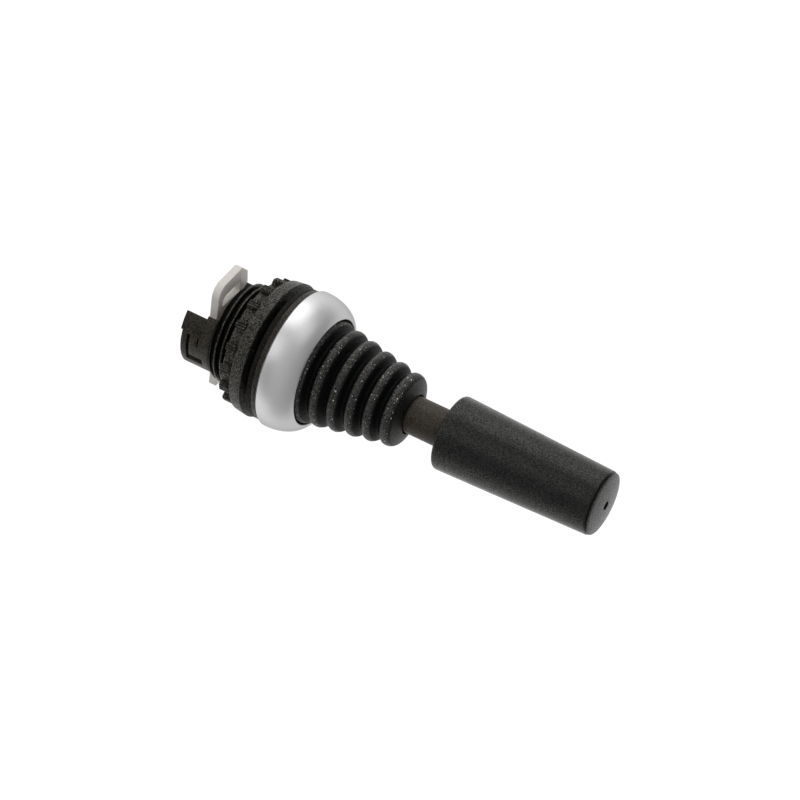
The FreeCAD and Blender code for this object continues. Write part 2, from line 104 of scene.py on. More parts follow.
COLLAR_TOP = low("bellows")
CLAMP_TOP = high("clamp_ring")
NUT_REAR = low("ring_nut")
NUT_FRONT = high("ring_nut")
BELLOWS_END = high("bellows")
GRIP_REAR = low("grip")
GRIP_RIM = high("grip")
DOME_DROP = 0.4
DOME_TOP = high("grip_cap") - DOME_DROP
CAP_FOOT = low("grip_cap")
SHAFT_END = high("shaft")
SHAFT_FOOT = low("shaft")
INSERT_FOOT = low("grip_insert")
PLATE_REAR = low("rocker_plate")
PLATE_FRONT = high("rocker_plate")


class Graph:
    """Short helpers for a node tree that reads object coordinates in millimetres."""

    def __init__(self, tree):
        self.tree = tree
        self.tree.nodes.clear()
        self.coords = self.node("ShaderNodeTexCoord").outputs["Object"]

    def node(self, kind, **settings):
        n = self.tree.nodes.new(kind)
        for key, value in settings.items():
            setattr(n, key, value)
        return n

    def link(self, a, b):
        self.tree.links.new(a, b)

    def feed(self, socket, value):
        """Sets a socket to a number or colour, or links it."""
        if isinstance(value, (int, float)):
            socket.default_value = value
        elif isinstance(value, tuple):
            socket.default_value = (*value, 1)
        else:
            self.link(value, socket)

    def place(self):
        """Object coordinates in millimetres."""
        scale = self.node("ShaderNodeMapping")
        scale.inputs["Scale"].default_value = (1 / MM, 1 / MM, 1 / MM)
        self.link(self.coords, scale.inputs["Vector"])
        return scale.outputs[0]

    def noise(self, per_mm, detail, rough):
        n = self.node("ShaderNodeTexNoise")
        n.inputs["Scale"].default_value = per_mm
        n.inputs["Detail"].default_value = detail
        n.inputs["Roughness"].default_value = rough
        self.link(self.place(), n.inputs["Vector"])
        return n.outputs["Fac"]

    def cells(self, per_mm, feature="F1"):
        n = self.node("ShaderNodeTexVoronoi", feature=feature)
        n.inputs["Scale"].default_value = per_mm
        self.link(self.place(), n.inputs["Vector"])
        return n

    def radius(self):
        """Distance from the Z axis in millimetres."""
        spot = self.node("ShaderNodeSeparateXYZ")
        self.link(self.place(), spot.inputs[0])
        x, y, _ = spot.outputs
        squares = self.math("ADD", self.math("MULTIPLY", x, x), self.math("MULTIPLY", y, y))
        return self.math("SQRT", squares, 0.0)

    def carried(self, name):
        """A value that the mesh carries at its vertices, eased from 0 to 1."""
        value = self.node("ShaderNodeAttribute", attribute_name=name).outputs["Fac"]
        return self.span(value, 0.0, 1.0, soft=True)

    def flecks(self, per_mm, inner, outer, share):
        """Round spots in a share of the cells, full up to inner and gone at outer."""
        spots = self.cells(per_mm)
        near = self.ramp(spots.outputs["Distance"], [(inner, 1.0), (outer, 0.0)])
        chosen = self.ramp(spots.outputs["Color"], [(share, 1.0), (share + 0.02, 0.0)])
        return self.math("MULTIPLY", near, chosen)

    def ramp(self, fac, stops):
        """Turns a factor into a tone, by (position, grey or colour) stops."""
        r = self.node("ShaderNodeValToRGB")
        elements = r.color_ramp.elements
        for e, (position, value) in zip(elements, stops):
            e.position = position
            e.color = (*value, 1) if isinstance(value, tuple) else (value, value, value, 1)
        self.link(fac, r.inputs["Fac"])
        return r.outputs["Color"]

    def span(self, fac, low_value, high_value, from_low=0.0, from_high=1.0, soft=False):
        """Maps a factor between two limits to a range of values."""
        m = self.node("ShaderNodeMapRange", interpolation_type="SMOOTHSTEP" if soft else "LINEAR")
        m.inputs["From Min"].default_value = from_low
        m.inputs["From Max"].default_value = from_high
        m.inputs["To Min"].default_value = low_value
        m.inputs["To Max"].default_value = high_value
        self.link(fac, m.inputs["Value"])
        return m.outputs["Result"]

    def math(self, operation, a, b):
        m = self.node("ShaderNodeMath", operation=operation)
        self.feed(m.inputs[0], a)
        self.feed(m.inputs[1], b)
        return m.outputs[0]

    def mix(self, fac, a, b):
        m = self.node("ShaderNodeMix", data_type="RGBA")
        self.feed(m.inputs[0], fac)
        self.feed(m.inputs[6], a)
        self.feed(m.inputs[7], b)
        return m.outputs[2]

    def bump(self, height, distance_mm, below=None):
        b = self.node("ShaderNodeBump")
        b.inputs["Strength"].default_value = 1.0
        b.inputs["Distance"].default_value = distance_mm * MM
        self.link(height, b.inputs["Height"])
        if below is not None:
            self.link(below, b.inputs["Normal"])
        return b.outputs["Normal"]

    def toward(self, vector, direction):
        """How far a vector points in a direction."""
        dot = self.node("ShaderNodeVectorMath", operation="DOT_PRODUCT")
        self.link(vector, dot.inputs[0])
        dot.inputs[1].default_value = direction.normalized()
        return dot.outputs["Value"]

    def ray(self, kind):
        return self.node("ShaderNodeLightPath").outputs["Is %s Ray" % kind]

    def principled(self):
        """A material's surface shader, linked to its output."""
        shader = self.node("ShaderNodeBsdfPrincipled")
        out = self.node("ShaderNodeOutputMaterial")
        self.link(shader.outputs[0], out.inputs["Surface"])
        return shader


def new_material(name):
    m = bpy.data.materials.new(name)
    m.use_nodes = True
    return m, Graph(m.node_tree)


# Values of the noise between which a finish turns from one tone, shine or roughness to the other
PATCH_STOPS = (0.34, 0.66)
GRAIN_STOPS = (0.36, 0.66)
SHINE_STOPS = (0.42, 0.58)
ROUGH_STOPS = (0.35, 0.65)

# Share of the grain in tone and in roughness, light left under painted shade, and a pit's profile
GRAIN_TONE_SHARE = 0.4
GRAIN_ROUGH_SHARE = 0.6
SHADED_SHARE = 0.08
PIT_STOPS = [(0.05, 0.0), (0.5, 1.0)]


def surface(name, dark, light, rough, grain, patches=0.35, depth=0.02, speck=None, pits=None,
            metallic=0.0, specular=(0.15, 0.35), tint=(1.0, 0.97, 0.87), subsurface=0.0,
            painted_shade_below=None):
    """A finish of two tones in soft patches, with its grain in bump, shine and roughness.
    rough and specular are the values at the low and the high of the grain, and tint colours
    the reflection. grain and patches are per mm, depth is in mm, pits is (per mm, depth in mm),
    speck is (per mm, radius as a share of a cell, share of cells, colour), and the last
    argument holds the radii in mm under which painted shade darkens tone and shine and over
    which it is plain."""
    m, g = new_material(name)
    shader = g.principled()
    shader.inputs["Metallic"].default_value = metallic
    shader.inputs["Specular Tint"].default_value = (*tint, 1)
    shader.inputs["Subsurface Weight"].default_value = subsurface
    shader.inputs["Subsurface Scale"].default_value = 0.002
    large = g.noise(patches, detail=5.0, rough=0.6)
    fine = g.noise(grain, detail=3.0, rough=0.6)
    tone = g.ramp(large, zip(PATCH_STOPS, (dark, light)))
    tone = g.mix(GRAIN_TONE_SHARE, tone, g.ramp(fine, zip(GRAIN_STOPS, (dark, light))))
    if speck:
        per_mm, radius, share, colour = speck
        tone = g.mix(g.flecks(per_mm, radius * 0.5, radius, share), tone, colour)
    shine = g.span(fine, *specular, *SHINE_STOPS)
    # painted shade: towards the axis, in the thread roots, tone and shine are darkened
    if painted_shade_below:
        painted_shade_factor = g.span(g.radius(), SHADED_SHARE, 1.0, *painted_shade_below)
        tone = g.mix(painted_shade_factor, (0.0, 0.0, 0.0), tone)
        shine = g.math("MULTIPLY", shine, painted_shade_factor)
    g.link(shine, shader.inputs["Specular IOR Level"])
    g.link(tone, shader.inputs["Base Color"])
    fine_part = g.math("MULTIPLY", fine, GRAIN_ROUGH_SHARE)
    large_part = g.math("MULTIPLY", large, 1 - GRAIN_ROUGH_SHARE)
    blend = g.math("ADD", fine_part, large_part)
    g.link(g.span(blend, *rough, *ROUGH_STOPS), shader.inputs["Roughness"])
    normal = g.bump(fine, depth)
    if pits:
        per_mm, pit_depth = pits
        hollow = g.ramp(g.cells(per_mm, "SMOOTH_F1").outputs["Distance"], PIT_STOPS)
        normal = g.bump(hollow, pit_depth, normal)
    g.link(normal, shader.inputs["Normal"])
    return m


# Bellows: painted shade deep in the folds, painted light in patches on the crests, and dust of its
# rubber; a dust row is (per mm, share of cells, brightness)
FOLD_SHADE_TONE = (0.0018, 0.0021, 0.0022)
CREST_LIGHT_TONES = [(0.42, (0.003, 0.0032, 0.0032)), (0.60, (0.062, 0.059, 0.052))]
CREST_LIGHT_PATCH_STOPS = [(0.30, 0.35), (0.62, 1.0)]
DUST_ROWS = [(1.9, 0.45, 0.75), (1.3, 0.30, 0.95)]
DUST_INNER = 0.12
DUST_OUTER = 0.26


def folded_rubber(name):
    """Black rubber with painted shade down in the folds, painted light in patches on the crests,
    grain, and pale dust on the crests; the shine is cut down in the folds as painted shade.
    The mesh carries the values crest and end, which stay in place when it bends."""
    m, g = new_material(name)
    shader = g.principled()
    shader.inputs["Specular Tint"].default_value = (1.0, 0.98, 0.94, 1)
    crest = g.carried("crest")
    end = g.carried("end")
    fine = g.noise(4.0, detail=3.0, rough=0.65)
    large = g.noise(0.6, detail=5.0, rough=0.6)
    # painted light: the crests get a lighter tone in patches, and the dust goes in the same places
    crest_light_and_dust = g.math("MULTIPLY", crest, g.ramp(large, CREST_LIGHT_PATCH_STOPS))
    tone = g.mix(crest_light_and_dust, FOLD_SHADE_TONE, g.ramp(fine, CREST_LIGHT_TONES))
    for per_mm, share, pale in DUST_ROWS:
        dust = g.math("MULTIPLY", g.flecks(per_mm, DUST_INNER, DUST_OUTER, share), crest_light_and_dust)
        tone = g.mix(dust, tone, (pale, pale * 0.97, pale * 0.92))
    g.link(tone, shader.inputs["Base Color"])
    g.link(g.span(fine, 0.38, 0.58, *ROUGH_STOPS), shader.inputs["Roughness"])
    # painted shade: the shine is cut down in the folds and kept on the crests and the sloping end
    shine_fold_shade = g.math("MAXIMUM", g.span(crest, 0.12, 0.8), g.span(end, 0.0, 0.7))
    shine = g.math("MULTIPLY", shine_fold_shade, g.span(fine, 0.2, 1.0, *SHINE_STOPS))
    g.link(shine, shader.inputs["Specular IOR Level"])
    g.link(g.bump(fine, 0.06), shader.inputs["Normal"])
    return m


# Finishes by material slot; "thread" is a second finish of the barrel, for its threaded part: the same
# plastic in a darker copy, with painted shade in the thread roots
FINISHES = {
    "bezel_satin": dict(
        dark=(0.655, 0.655, 0.665), light=(0.73, 0.725, 0.725), rough=(0.36, 0.42), grain=8.0,
        patches=0.12, depth=0.003, metallic=1.0, tint=(0.5, 0.49, 0.48)),
    "barrel_plastic": dict(
        dark=(0.003, 0.0026, 0.002), light=(0.038, 0.031, 0.022), rough=(0.34, 0.50), grain=3.8,
        patches=0.4, depth=0.04, specular=(0.10, 0.50)),
    # thread: darker than the barrel plastic as painted shade between the close flanks, and darker
    # still towards the roots as painted shade
    "thread": dict(
        dark=(0.003, 0.0028, 0.002), light=(0.020, 0.019, 0.012), rough=(0.26, 0.42), grain=3.8,
        patches=0.5, depth=0.05, specular=(0.05, 0.9), painted_shade_below=(10.2, 10.8)),
    "gasket_rubber": dict(
        dark=(0.002, 0.002, 0.0018), light=(0.012, 0.0115, 0.0105), rough=(0.50, 0.70), grain=3.6,
        patches=0.8, depth=0.05, specular=(0.04, 0.20)),
    "nut_plastic": dict(
        dark=(0.0018, 0.0018, 0.0016), light=(0.028, 0.027, 0.023), rough=(0.26, 0.46), grain=3.6,
        patches=0.7, depth=0.14, speck=(3.0, 0.34, 0.30, (0.26, 0.25, 0.21)), pits=(2.6, 0.06),
        specular=(0.02, 0.75)),
    "shaft_dark": dict(
        dark=(0.018, 0.013, 0.009), light=(0.042, 0.033, 0.024), rough=(0.40, 0.56), grain=3.0,
        patches=0.6, depth=0.03, specular=(0.2, 0.5)),
    "grip_plastic": dict(
        dark=(0.0070, 0.0092, 0.0098), light=(0.0115, 0.0138, 0.0134), rough=(0.23, 0.31), grain=4.0,
        patches=0.3, depth=0.04, pits=(3.4, 0.02), specular=(0.10, 0.50)),
    "rocker_acetal": dict(
        dark=(0.82, 0.78, 0.73), light=(0.90, 0.86, 0.82), rough=(0.35, 0.5), grain=3.0,
        patches=0.4, depth=0.008, specular=(0.4, 0.6), subsurface=0.05),
    "carrier_plastic": dict(
        dark=(0.020, 0.020, 0.021), light=(0.045, 0.045, 0.047), rough=(0.45, 0.6), grain=5.0,
        depth=0.015),
    "bush_plastic": dict(
        dark=(0.55, 0.54, 0.50), light=(0.68, 0.67, 0.63), rough=(0.35, 0.5), grain=4.0,
        depth=0.006, specular=(0.4, 0.6)),
    "plated_steel": dict(
        dark=(0.46, 0.46, 0.47), light=(0.62, 0.62, 0.63), rough=(0.25, 0.42), grain=8.0,
        patches=1.2, depth=0.004, metallic=1.0),
    "spring_steel": dict(
        dark=(0.32, 0.32, 0.33), light=(0.48, 0.48, 0.50), rough=(0.25, 0.4), grain=9.0,
        patches=1.5, depth=0.004, metallic=1.0),
    "turned_brass": dict(
        dark=(0.60, 0.44, 0.20), light=(0.74, 0.58, 0.30), rough=(0.22, 0.4), grain=8.0,
        patches=1.0, depth=0.004, metallic=1.0),
}
MATERIALS = {name: surface(name, **finish) for name, finish in FINISHES.items()}
MATERIALS["bellows_rubber"] = folded_rubber("bellows_rubber")


# Mesh helpers
SHARP = 38.0
NEARLY_STRAIGHT = math.radians(172)
MOST_OF_AN_EDGE = 0.45
TINY = 1e-6


def fillet(points, radius=0.15, steps=4):
    """Rounds the corners of a closed outline in mm. A third value in a point is its own radius."""
    out = []
    for i, p in enumerate(points):
        size = p[2] if len(p) > 2 else radius
        here = Vector(p[:2])
        before = Vector(points[i - 1][:2]) - here
        after = Vector(points[(i + 1) % len(points)][:2]) - here
        plain = size <= 0 or min(before.length, after.length) < TINY
        if plain or before.angle(after) > NEARLY_STRAIGHT:
            out.append(tuple(here))
            continue
        back = size / math.tan(before.angle(after) / 2)
        back = min(back, MOST_OF_AN_EDGE * before.length, MOST_OF_AN_EDGE * after.length)
        a = here + before.normalized() * back
        b = here + after.normalized() * back
        for k in range(steps + 1):
            t = k / steps
            out.append(tuple(a * (1 - t) ** 2 + here * 2 * t * (1 - t) + b * t ** 2))
    return out


def arc(centre, radius, start, end, steps):
    """Points of an arc in mm, from start to end in degrees, both included."""
    points = []
    for i in range(steps + 1):
        a = math.radians(start + (end - start) * i / steps)
        points.append((centre[0] + radius * math.cos(a), centre[1] + radius * math.sin(a), 0))
    return points


def polar(r, angle, z):
    """A point in metres, from a radius and a height in mm."""
    return r * math.cos(angle) * MM, r * math.sin(angle) * MM, z * MM


def finish_mesh(name, bm, sharp=SHARP):
    """Welds the vertices and smooths all but the edges over sharp degrees."""
    bmesh.ops.remove_doubles(bm, verts=bm.verts, dist=1e-7)
    bmesh.ops.recalc_face_normals(bm, faces=bm.faces)
    mesh = bpy.data.meshes.new(name)
    bm.to_mesh(mesh)
    bm.free()
    mesh.shade_smooth()
    mesh.set_sharp_from_angle(angle=math.radians(sharp))
    return mesh


def piece(name, mesh, slot, body=None, replaces=(), finish=None):
    """A new object with the finish of its slot, or another finish of that slot."""
    obj = bpy.data.objects.new(name, mesh)
    bpy.context.scene.collection.objects.link(obj)
    obj.data.materials.clear()
    obj.data.materials.append(MATERIALS[finish or slot])
    if body:
        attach(obj, body)
    if replaces:
        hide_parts(*replaces)
    return obj


def lathe_mesh(name, outline, segments=192, shape=None, sharp=SHARP):
    """Turns a closed (r, z) outline in mm about Z. shape(angle, r, z) may move each point."""
    bm = bmesh.new()
    rings = []
    for s in range(segments):
        angle = 2 * math.pi * s / segments
        ring = []
        for r, z in outline:
            if shape:
                r, z = shape(angle, r, z)
            ring.append(bm.verts.new(polar(r, angle, z)))
        rings.append(ring)
    rows = len(outline)
    for s in range(segments):
        a = rings[s]
        b = rings[(s + 1) % segments]
        for k in range(rows):
            n = (k + 1) % rows
            if outline[k][0] > TINY or outline[n][0] > TINY:
                bm.faces.new([a[k], b[k], b[n], a[n]])
    return finish_mesh(name, bm, sharp)


def lathe(name, outline, slot, body, replaces=(), finish=None, **how):
    """A turned piece; how may hold segments, shape and sharp."""
    return piece(name, lathe_mesh(name, outline, **how), slot, body, replaces, finish)


def bevelled(obj, width_mm, over_degrees):
    """Applies a fine bevel and keeps the result as the mesh."""
    m = obj.modifiers.new("Bevel", "BEVEL")
    m.width = width_mm * MM
    m.segments = 2
    m.limit_method = "ANGLE"
    m.angle_limit = math.radians(over_degrees)
    graph = bpy.context.evaluated_depsgraph_get()
    mesh = bpy.data.meshes.new_from_object(obj.evaluated_get(graph))
    obj.modifiers.clear()
    mesh.shade_smooth()
    mesh.set_sharp_from_angle(angle=math.radians(SHARP))
    obj.data = mesh


def smooth_step(x):
    """Eases from 0 to 1 while x goes from 0 to 1."""
    x = max(0.0, min(1.0, x))
    return x * x * (3 - 2 * x)


def wobble(angle, r, z, size, scale, seed=0.0):
    """A slow unevenness in mm, the same on every run."""
    x = r * math.cos(angle) * scale + seed
    return size * noise.noise(Vector((x, r * math.sin(angle) * scale, z * scale)))


# Bezel
def bezel_outline():
    """A quarter oval outside from the foot to the rounded lip, as in the solid."""
    widest = FLANGE_TOP + 0.86
    foot_rise = 0.4
    undercut = 0.4
    lip = 0.35
    inner_r = COLLAR_R + 0.02
    centre_r = MOUTH_R - 2 * lip
    spread = BEZEL_R - centre_r
    start = math.asin((MOUTH_R + lip - centre_r) / spread)
    height = (BEZEL_TOP - widest) / math.cos(start)
    foot = math.acos((FLANGE_TOP + foot_rise - widest) / height)
    points = []
    steps = 56
    for i in range(steps + 1):
        a = foot + (start - foot) * i / steps
        points.append((centre_r + spread * math.sin(a), widest + height * math.cos(a), 0))
    foot_r = points[0][0] - undercut
    points += arc((MOUTH_R + lip, BEZEL_TOP - lip), lip, 90, 180, 8)[1:]
    points += [
        (MOUTH_R, CLAMP_TOP, 0.1), (inner_r, CLAMP_TOP, 0.05), (inner_r, FLANGE_TOP, 0.05),
        (foot_r, FLANGE_TOP, 0.25),
    ]
    return fillet(points, 0)


lathe("bezel_shell", bezel_outline(), "bezel_satin", "housing", ["bezel"], segments=320)


# Barrel, thread and arms
NECK_R = THREAD_CREST_R - 0.05
NECK_REAR = -0.2
TUBE_R = THREAD_ROOT_R - 0.1
RIM_R = 9.9
CARRIER_R = BORE_R + 1.1
COLLAR_SEAT = COLLAR_TOP - 0.03
lathe("barrel_tube", fillet([
    (NECK_R, GASKET_TOP), (NECK_R, NECK_REAR), (TUBE_R, NECK_REAR), (TUBE_R, REAR_RIM_Z + 1.1),
    (RIM_R, REAR_RIM_Z, 0.2), (BORE_R, REAR_RIM_Z, 0.15), (BORE_R, CARRIER_SEAT),
    (CARRIER_R, CARRIER_SEAT), (CARRIER_R, COLLAR_SEAT, 0.15), (COLLAR_R, COLLAR_SEAT, 0.15),
    (COLLAR_R, FLANGE_TOP, 0.05), (FLANGE_R, FLANGE_TOP, 0.16), (FLANGE_R, GASKET_TOP, 0.22),
], 0.05), "barrel_plastic", "housing", ["barrel"], segments=256)


RIDGE_START = 0.40
RIDGE_RISE = 0.42
FADE_START = 0.15
FADE_LENGTH = 0.9


def thread_shape(angle, r, z):
    """A helical ridge that fades out at the rear rim."""
    if r < THREAD_ROOT_R:
        return r, z
    turn = (z / THREAD_PITCH - angle / (2 * math.pi)) % 1.0
    ridge = smooth_step((abs(2 * turn - 1) - RIDGE_START) / RIDGE_RISE)
    fade = max(0.0, min(1.0, (z - REAR_RIM_Z - FADE_START) / FADE_LENGTH))
    return THREAD_ROOT_R + (THREAD_CREST_R - THREAD_ROOT_R) * ridge * fade, z


THREAD_END = REAR_RIM_Z + 0.2
THREAD_FOOT_R = THREAD_ROOT_R - 0.15
thread_steps = 120
thread_rows = [(THREAD_FOOT_R, 0.0)]
thread_rows += [(THREAD_ROOT_R, THREAD_END * i / thread_steps) for i in range(thread_steps + 1)]
thread_rows.append((THREAD_FOOT_R, THREAD_END))
# the thread gets its darker finish with painted shade in the roots
lathe("barrel_thread", thread_rows, "barrel_plastic", "housing", ["barrel"], "thread",
      segments=288, shape=thread_shape)


def spread_steps(marks, most):
    """The marks with even steps of at most the given size between them."""
    out = []
    for a, b in zip(marks, marks[1:]):
        n = max(1, math.ceil((b - a) / most))
        out += [a + (b - a) * i / n for i in range(n)]
    return out + [marks[-1]]


def cell_shell(name, angles, heights, outer_r, r_in):
    """A curved wall over a grid of angles and heights. outer_r(angle, z) gives the
    outside of each cell, or r_in where the wall is open."""
    bm = bmesh.new()

    def corner(i, j, r):
        return bm.verts.new(polar(r, math.radians(angles[i]), heights[j]))

    def outside(i, j):
        """Outer radius of a cell, and r_in past the edges of the grid."""
        if 0 <= i < len(angles) - 1 and 0 <= j < len(heights) - 1:
            return outer_r((angles[i] + angles[i + 1]) / 2, (heights[j] + heights[j + 1]) / 2)
        return r_in

    for i in range(len(angles) - 1):
        for j in range(len(heights) - 1):
            own = outside(i, j)
            if own <= r_in:
                continue
            loop = [(i, j), (i + 1, j), (i + 1, j + 1), (i, j + 1)]
            bm.faces.new([corner(*c, own) for c in loop])
            bm.faces.new([corner(*c, r_in) for c in reversed(loop)])
            for k, (di, dj) in enumerate(((0, -1), (1, 0), (0, 1), (-1, 0))):
                beside = outside(i + di, j + dj)
                if beside < own:
                    a = loop[k]
                    b = loop[(k + 1) % 4]
                    step = [(*a, beside), (*b, beside), (*b, own), (*a, own)]
                    bm.faces.new([corner(*c) for c in step])
    return finish_mesh(name, bm)


# Angles in degrees and heights of the steps and slots of the arm about +Y
ARM_START = 45.2
ROOT_TO = 49.4
STEP_FROM = 73
SLOT_FROM = 75
MARK_TO = 88
KEY_FROM = 105
SLOT_TO = 115
ARM_STOP = 130.6
ROOT_Z = REAR_RIM_Z - 2.3
LOCK_LOW = ARM_END + 1.72
LOCK_HIGH = ARM_END + 2.42
KEY_HIGH = ARM_END + 5.52
MARK_LOW = ARM_END + 4.17
MARK_HIGH = ARM_END + 4.47
END_STEP = ARM_END + 0.4


def arm_outer_r(angle, z):
    """Outside of the arm about +Y: its end step, and its blind lock, key and mark slots."""
    if angle < ROOT_TO and z < ROOT_Z:
        return ARM_INNER_R
    if angle > STEP_FROM and z < END_STEP:
        return ARM_INNER_R
    lock = SLOT_FROM < angle < SLOT_TO and LOCK_LOW < z < LOCK_HIGH
    key = KEY_FROM < angle < SLOT_TO and LOCK_LOW < z < KEY_HIGH
    mark = SLOT_FROM < angle < MARK_TO and MARK_LOW < z < MARK_HIGH
    return ARM_SLOT_R if lock or key or mark else ARM_OUTER_R


angle_marks = [ARM_START, ROOT_TO, STEP_FROM, SLOT_FROM, MARK_TO, KEY_FROM, SLOT_TO, ARM_STOP]
height_marks = [ARM_END, END_STEP, LOCK_LOW, LOCK_HIGH, MARK_LOW, MARK_HIGH, ROOT_Z, KEY_HIGH]
arm_angles = spread_steps(angle_marks, most=1.6)
arm_heights = spread_steps(height_marks + [REAR_RIM_Z + 0.02], most=0.8)
for side, turn in (("a", 0), ("b", 180)):
    name = "coupling_arm_" + side
    mesh = cell_shell(name, arm_angles, arm_heights, arm_outer_r, ARM_INNER_R)
    arm = piece(name, mesh, "barrel_plastic", None, ["barrel"])
    bevelled(arm, width_mm=0.08, over_degrees=50)
    arm.data.transform(Matrix.Rotation(math.radians(turn), 4, "Z"))
    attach(arm, "housing")


# Gasket
GASKET_HOLE_R = 10.86
GASKET_R = 14.3
lathe("gasket_ring", fillet([
    (GASKET_HOLE_R, 0.0), (GASKET_R, 0.0, 0.14),
    (GASKET_R, GASKET_TOP, 0.2), (GASKET_HOLE_R, GASKET_TOP),
], 0.08), "gasket_rubber", "housing", ["gasket"], segments=256)


# Ring nut
NUT_HUB_R = 12.7
NUT_FLANGE_R = 14.7
FLANGE_REAR = NUT_FRONT - 2.81
FLANGE_REAR_R = 14.16
FLANGE_EDGE_R = 14.36
NUT_BORE_R = 10.95
NUT_MOUTH_R = 11.45
NUT_GROOVE_R = NUT_HUB_R - 0.4
TOOTH_MID_R = NUT_HUB_R + 0.6
TOOTH_HALF = 0.775
TOOTH_FOOT_HALF = TOOTH_HALF + 0.05
TOOTH_SIDE = 0.12
TOOTH_RISE = 1.2
TOOTH_ROUND = 0.25
LINE_PLACE = 0.27
LINE_HALF = 0.14
LINE_DEPTH = 0.32


def tooth_height(angle):
    """Height of the toothed rim in mm: square teeth with two fine grooves along the top."""
    pitch = 2 * math.pi / TEETH
    off = (angle - FIRST_TOOTH + pitch / 2) % pitch - pitch / 2
    x = off * TOOTH_MID_R
    side = smooth_step((TOOTH_FOOT_HALF - abs(x)) / TOOTH_SIDE)
    line = smooth_step(1 - abs(abs(x) - LINE_PLACE) / LINE_HALF)
    return (TOOTH_RISE - LINE_DEPTH * line) * side


def nut_shape(angle, r, z):
    """Raises the teeth on the hub, lower over its rounded edge, and roughens the flange."""
    if z < FLANGE_REAR - 0.1 and r > NUT_HUB_R - 0.3:
        share = min(1.0, (r - (NUT_HUB_R - TOOTH_ROUND)) / TOOTH_ROUND)
        return r + tooth_height(angle) * max(0.0, share), z
    if r > 13.5:
        return r + wobble(angle, r, z, size=0.02, scale=1.2), z
    return r, z


lathe("ring_nut_body", fillet([
    (NUT_BORE_R, NUT_FRONT - 0.5, 0.1), (NUT_MOUTH_R, NUT_FRONT, 0.1), (NUT_FLANGE_R, NUT_FRONT, 0.12),
    (FLANGE_EDGE_R, FLANGE_REAR + 0.2, 0.1), (FLANGE_REAR_R, FLANGE_REAR, 0.08),
    (NUT_GROOVE_R, FLANGE_REAR), (NUT_GROOVE_R, FLANGE_REAR - 0.28), (NUT_HUB_R, FLANGE_REAR - 0.32),
    (NUT_HUB_R, NUT_REAR + 1.2), (NUT_HUB_R, NUT_REAR + TOOTH_ROUND),
    (NUT_HUB_R - 0.08, NUT_REAR + 0.07), (NUT_HUB_R - TOOTH_ROUND, NUT_REAR),
    (NUT_MOUTH_R, NUT_REAR, 0.1), (NUT_BORE_R, NUT_REAR + 0.5, 0.1),
], 0), "nut_plastic", "ring_nut_body", ["ring_nut"], segments=1088, shape=nut_shape, sharp=50.0)


# Bellows
HOLE_R = 4.3
FOOT_R = COLLAR_R - 0.07
FOOT_TOP = COLLAR_TOP + 0.98
TROUGH_STEPS = 4
CREST_STEPS = 6
BELLOWS_SEGMENTS = 224
CREST_BAND = 0.46
END_BAND = 1.6
END_FADE = 0.6
SPLIT_FOLD = 1


def fold_points(inset, first, last):
    """(r, z) up the folds, for fold numbers first to last; inset moves the curve inwards."""
    crest = CREST_ROUND - inset
    trough = TROUGH_ROUND + inset
    slope_run = FOLD_PITCH / 2 - (crest + trough) * math.sin(FOLD_FLANK)
    depth = (crest + trough) * (1 - math.cos(FOLD_FLANK)) + slope_run * math.tan(FOLD_FLANK)
    points = []

    def add(z, drop):
        points.append((CREST_R - drop - inset - FOLD_TAPER * (z - CREST_Z) / FOLD_PITCH, z))

    for i in range(first, last + 1):
        crest_z = CREST_Z + i * FOLD_PITCH
        trough_z = crest_z - FOLD_PITCH / 2
        for k in range(-TROUGH_STEPS if i > first else 0, TROUGH_STEPS + 1):
            a = FOLD_FLANK * k / TROUGH_STEPS
            add(trough_z + trough * math.sin(a), depth - trough * (1 - math.cos(a)))
        for k in range(-CREST_STEPS, 1 if i == FOLDS else CREST_STEPS + 1):
            a = FOLD_FLANK * k / CREST_STEPS
            add(crest_z + crest * math.sin(a), crest * (1 - math.cos(a)))
    if last == FOLDS:
        turn = END_ROUND - inset
        top_r, top_z = points[-1]
        points += [(r, z) for r, z, _ in arc((top_r - turn, top_z), turn, 0, 90 - END_SLOPE, 10)[1:]]
        last_r, last_z = points[-1]
        rise = math.tan(math.radians(END_SLOPE))
        points += [(r, last_z + (last_r - r) * rise) for r in (6.0, 5.2, HOLE_R + 0.25)]
    return points


def bellows_shape(angle, r, z):
    """Makes the folds slightly uneven, but neither the foot nor the edge of the hole."""
    if z < CLAMP_TOP + 0.3 or r < 5.0:
        return r, z
    slow = wobble(angle, r, z, size=0.05, scale=0.3)
    quick = wobble(angle, r, z, size=0.03, scale=1.2, seed=7.0)
    return r + slow + quick, z


def mark_folds(mesh):
    """Keeps with each vertex how near it is to a crest and to the sloping end, 0 to 1."""
    lean = FOLD_TAPER / FOLD_PITCH
    crest = mesh.attributes.new("crest", "FLOAT", "POINT")
    end = mesh.attributes.new("end", "FLOAT", "POINT")
    for i, vertex in enumerate(mesh.vertices):
        x, y, z = vertex.co / MM
        below_crest = CREST_R + lean * (CREST_Z - z) - math.hypot(x, y)
        crest.data[i].value = 1 - below_crest / CREST_BAND
        end.data[i].value = (z - (BELLOWS_END - END_BAND)) / END_FADE


